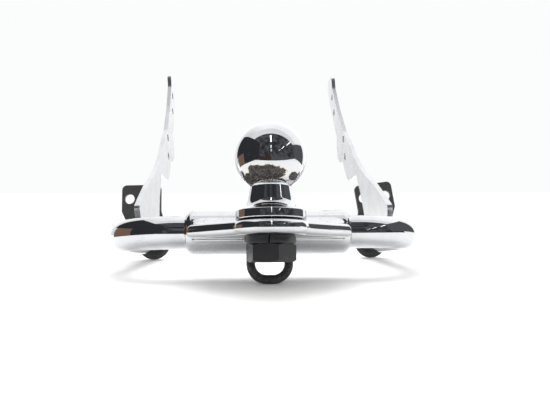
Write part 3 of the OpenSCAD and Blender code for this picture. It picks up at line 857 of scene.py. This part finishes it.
class HITCH_OT_stage(bpy.types.Operator):
    """Sets the pale floor, the soft light, what the mirrors see, and the camera"""

    bl_idname = "hitch.stage"
    bl_label = "Stage"

    def execute(self, context):
        ground = floor_matrix()
        self.ground(ground)
        self.sky()
        self.beside()
        self.lamps()
        self.lights(context, ground)
        self.camera(context)
        return {"FINISHED"}

    def ground(self, ground):
        """The wide floor and its backdrop, the paper's sheet, and the glowing tables that only mirrors
        see, which are painted reflections.
        """
        wide, near, reach = 4.0, -1.5, 1.2
        seam, top = 0.126, 4
        stage_sheet("stage_floor", rectangle((-wide, near, 0), (wide, reach, 0)),
                    stage_material("white_paper", from_hex("#f0f0ef")), ground, seen="ground")
        stage_sheet("stage_seam", rectangle((-wide, reach, 0), (wide, reach, seam)),
                    stage_material("lit_paper", (1, 1, 1, 1), 1.05), ground, seen="camera")
        stage_sheet("stage_wall", rectangle((-wide, reach, seam), (wide, reach, top)),
                    stage_material("far_wall", from_hex("#fbfdfd"), 1.0), ground, seen="camera")
        far, front, side, back = -3.0, -0.328, 2.0, 2.0
        lift, drop = 0.0001, -0.01
        # A slightly darker copy of the floor's paper that only mirrors see: painted shade that dims the
        # paper's reflection
        stage_sheet("stage_paper", rectangle((-side, front, lift), (side, back, lift)),
                    stage_material("mirrored_paper", from_hex("#ebebea")), ground)
        # Painted reflections: glowing brown and grey table sheets that only mirrors see
        stage_sheet("stage_brown_table", rectangle((-side, far, drop), (0, front, drop)),
                    stage_material("brown_table_reflection", from_hex("#4b3a35"), 1.0), ground)
        stage_sheet("stage_grey_table", rectangle((0, far, drop), (side, front, drop)),
                    stage_material("grey_table_reflection", from_hex("#5e5f61"), 1.0), ground)

    def sky(self):
        """Glowing domes that only mirrors see, painted reflections: the dim room in front, a grey
        ceiling over it, and the white backdrop behind.
        """
        room, tree, shader, place = blank_material("dim_room_reflection", Roughness=1.0, Base_Color=(0, 0, 0, 1),
                                                   Specular_IOR_Level=0.0, Emission_Strength=1.0)
        # The room's painted reflection glows in random lighter and darker patches
        room_patches = mottling(tree, place, 2600, 0.38, 0.66, 0.0, 1.0, detail=3)
        tint = add_node(tree, "ShaderNodeMix",
                        {0: room_patches, 6: from_hex("#343538"), 7: from_hex("#66676b")},
                        data_type="RGBA").outputs[2]
        tree.links.new(tint, shader.inputs["Emission Color"])
        lean = 0.42
        sky_part("stage_room", 12.0, room, [(0, 1, lean)])
        # The ceiling's painted reflection: a glowing sheet over the room that only mirrors see
        sky_part("stage_ceiling", 12.2, stage_material("grey_ceiling_reflection", (1, 1, 1, 1), 1.15),
                 [(0, -1, -lean), (0, 1, 0), (0, 0, -1)])
        # The white backdrop's painted reflection: a glowing sphere that only mirrors see
        white, tree, shader, place = blank_material("white_backdrop_reflection", Roughness=1.0,
                                                    Base_Color=(0, 0, 0, 1), Specular_IOR_Level=0.0,
                                                    Emission_Color=(1, 1, 1, 1))
        # Painted light falloff: the backdrop's glow is dimmer on the far left and straight behind
        axes = add_node(tree, "ShaderNodeSeparateXYZ", {"Vector": place})
        across = add_node(tree, "ShaderNodeMapRange",
                          {"Value": axes.outputs["X"], "From Min": -11.0, "From Max": -2.0,
                           "To Min": 0.85, "To Max": 1.5}).outputs[0]
        behind = add_node(tree, "ShaderNodeMapRange",
                          {"Value": axes.outputs["Y"], "From Min": 10.8, "From Max": 12.2,
                           "To Min": 1.0, "To Max": 0.72}).outputs[0]
        shine = add_node(tree, "ShaderNodeMath", {0: across, 1: behind},
                         operation="MULTIPLY").outputs[0]
        tree.links.new(shine, shader.inputs["Emission Strength"])
        sky_part("stage_backdrop", 12.6, white, [])

    def beside(self):
        """Glowing sheets that only mirrors see, painted reflections of a dark wall with a brown card on
        the left, and of a grey stand on the right.
        """
        # Painted reflections: these sheets glow and only mirrors see them
        dark = stage_material("dark_wall_reflection", from_hex("#38393c"), 1.0)
        left, right = -0.351, 0.35
        low, card_top, top = -0.12, 0.062, 0.37
        corner = 0.008
        stage_sheet("stage_side_wall", rectangle((left, -0.5, low), (left, corner, top)), dark)
        stage_sheet("stage_card", rectangle((left, corner, low), (left, 0.233, card_top)),
                    stage_material("brown_card_reflection", from_hex("#8b7160"), 1.0))
        stage_sheet("stage_back_wall", rectangle((left, corner, card_top), (left, 0.29, top)), dark)
        stage_sheet("stage_stand", rectangle((right, -0.1, -0.03), (right, 0.20, 0.19)),
                    stage_material("grey_stand_reflection", from_hex("#616266"), 1.0))

    def lamps(self):
        """Two rows of ceiling lamps in the dim room, seen in the ball."""
        glow = stage_material("ceiling_lamp", (1, 1, 1, 1), 4.0)
        height = 0.8
        half = 0.035
        rows = (((0.0, -0.6), (0.0, -1.38)),
                ((0.0, -2.14), (0.0, -3.27)),
                ((0.0, -4.3), (0.0, -11.4)),
                ((1.36, -0.46), (1.59, -1.27)),
                ((1.585, -1.77), (2.07, -3.25)),
                ((2.06, -3.7), (2.67, -6.3)))
        for i, ((x1, y1), (x2, y2)) in enumerate(rows):
            strip = ((x1 - half, y1), (x1 + half, y1), (x2 + half, y2), (x2 - half, y2))
            stage_sheet(f"stage_lamp_{i}", [(x * height, y * height, height) for x, y in strip], glow)

    def lights(self, context, ground):
        """A broad soft light above and behind the hitch, and an even sky."""
        world = bpy.data.worlds.new("studio")
        world.use_nodes = True
        world.node_tree.nodes["Background"].inputs["Color"].default_value = (1, 1, 1, 1)
        world.node_tree.nodes["Background"].inputs["Strength"].default_value = 1.15
        context.scene.world = world
        lamp = bpy.data.lights.new("overhead", "AREA")
        lamp.shape = "RECTANGLE"
        lamp.size = 1.4
        lamp.size_y = 1.0
        lamp.energy = 20
        light = bpy.data.objects.new("overhead", lamp)
        context.scene.collection.objects.link(light)
        place = ground @ Vector((0.0, 0.75, 1.15))
        aim = (place - CROSSBAR).to_track_quat("Z", "Y").to_matrix().to_4x4()
        light.matrix_world = Matrix.Translation(place) @ aim
        light.visible_glossy = False
        light.visible_camera = False
        context.scene.view_settings.view_transform = "Standard"

    def camera(self, context):
        """A low camera before the ball, turned a little to the right and up."""
        camera = bpy.data.cameras.new("camera")
        camera.sensor_width = 36
        camera.lens = 28.22
        camera.clip_start = 0.01
        view = bpy.data.objects.new("camera", camera)
        context.scene.collection.objects.link(view)
        forward = Vector((0.0511, 0.9891, 0.1380)).normalized()
        roll = Matrix.Rotation(math.radians(0.22), 3, forward)
        up = roll @ Vector((-0.0009, -0.1381, 0.9904))
        right = forward.cross(up).normalized()
        up = right.cross(forward)
        turn = Matrix((right, up, -forward)).transposed().to_4x4()
        view.matrix_world = Matrix.Translation(Vector((-11.7, -279.4, -71.6)) * MM) @ turn
        context.scene.camera = view


OPERATORS = (HITCH_OT_stage, HITCH_OT_crossbar, HITCH_OT_sleeve, HITCH_OT_tongue, HITCH_OT_ball,
             HITCH_OT_ball_fasteners, HITCH_OT_chain_loop, HITCH_OT_struts, HITCH_OT_brackets,
             HITCH_OT_leg_ends)


class HITCH_PT_panel(bpy.types.Panel):
    """Lists the hitch's operators, sizes and colours"""

    bl_label = "Trailer hitch"
    bl_idname = "HITCH_PT_panel"
    bl_space_type = "VIEW_3D"
    bl_region_type = "UI"
    bl_category = "Hitch"

    def draw(self, context):
        for group in (context.scene.hitch_sizes, context.scene.hitch_colours):
            for name in group.__annotations__:
                self.layout.prop(group, name)
        for operator in OPERATORS:
            self.layout.operator(operator.bl_idname)


def register():
    for cls in (HitchSizes, HitchColours, *OPERATORS, HITCH_PT_panel):
        bpy.utils.register_class(cls)
    bpy.types.Scene.hitch_sizes = PointerProperty(type=HitchSizes)
    bpy.types.Scene.hitch_colours = PointerProperty(type=HitchColours)


def unregister():
    del bpy.types.Scene.hitch_colours
    del bpy.types.Scene.hitch_sizes
    for cls in (HITCH_PT_panel, *reversed(OPERATORS), HitchColours, HitchSizes):
        bpy.utils.unregister_class(cls)


def main():
    register()
    for operator in OPERATORS:
        group, name = operator.bl_idname.split(".")
        getattr(getattr(bpy.ops, group), name)()


if __name__ == "__main__":
    main()
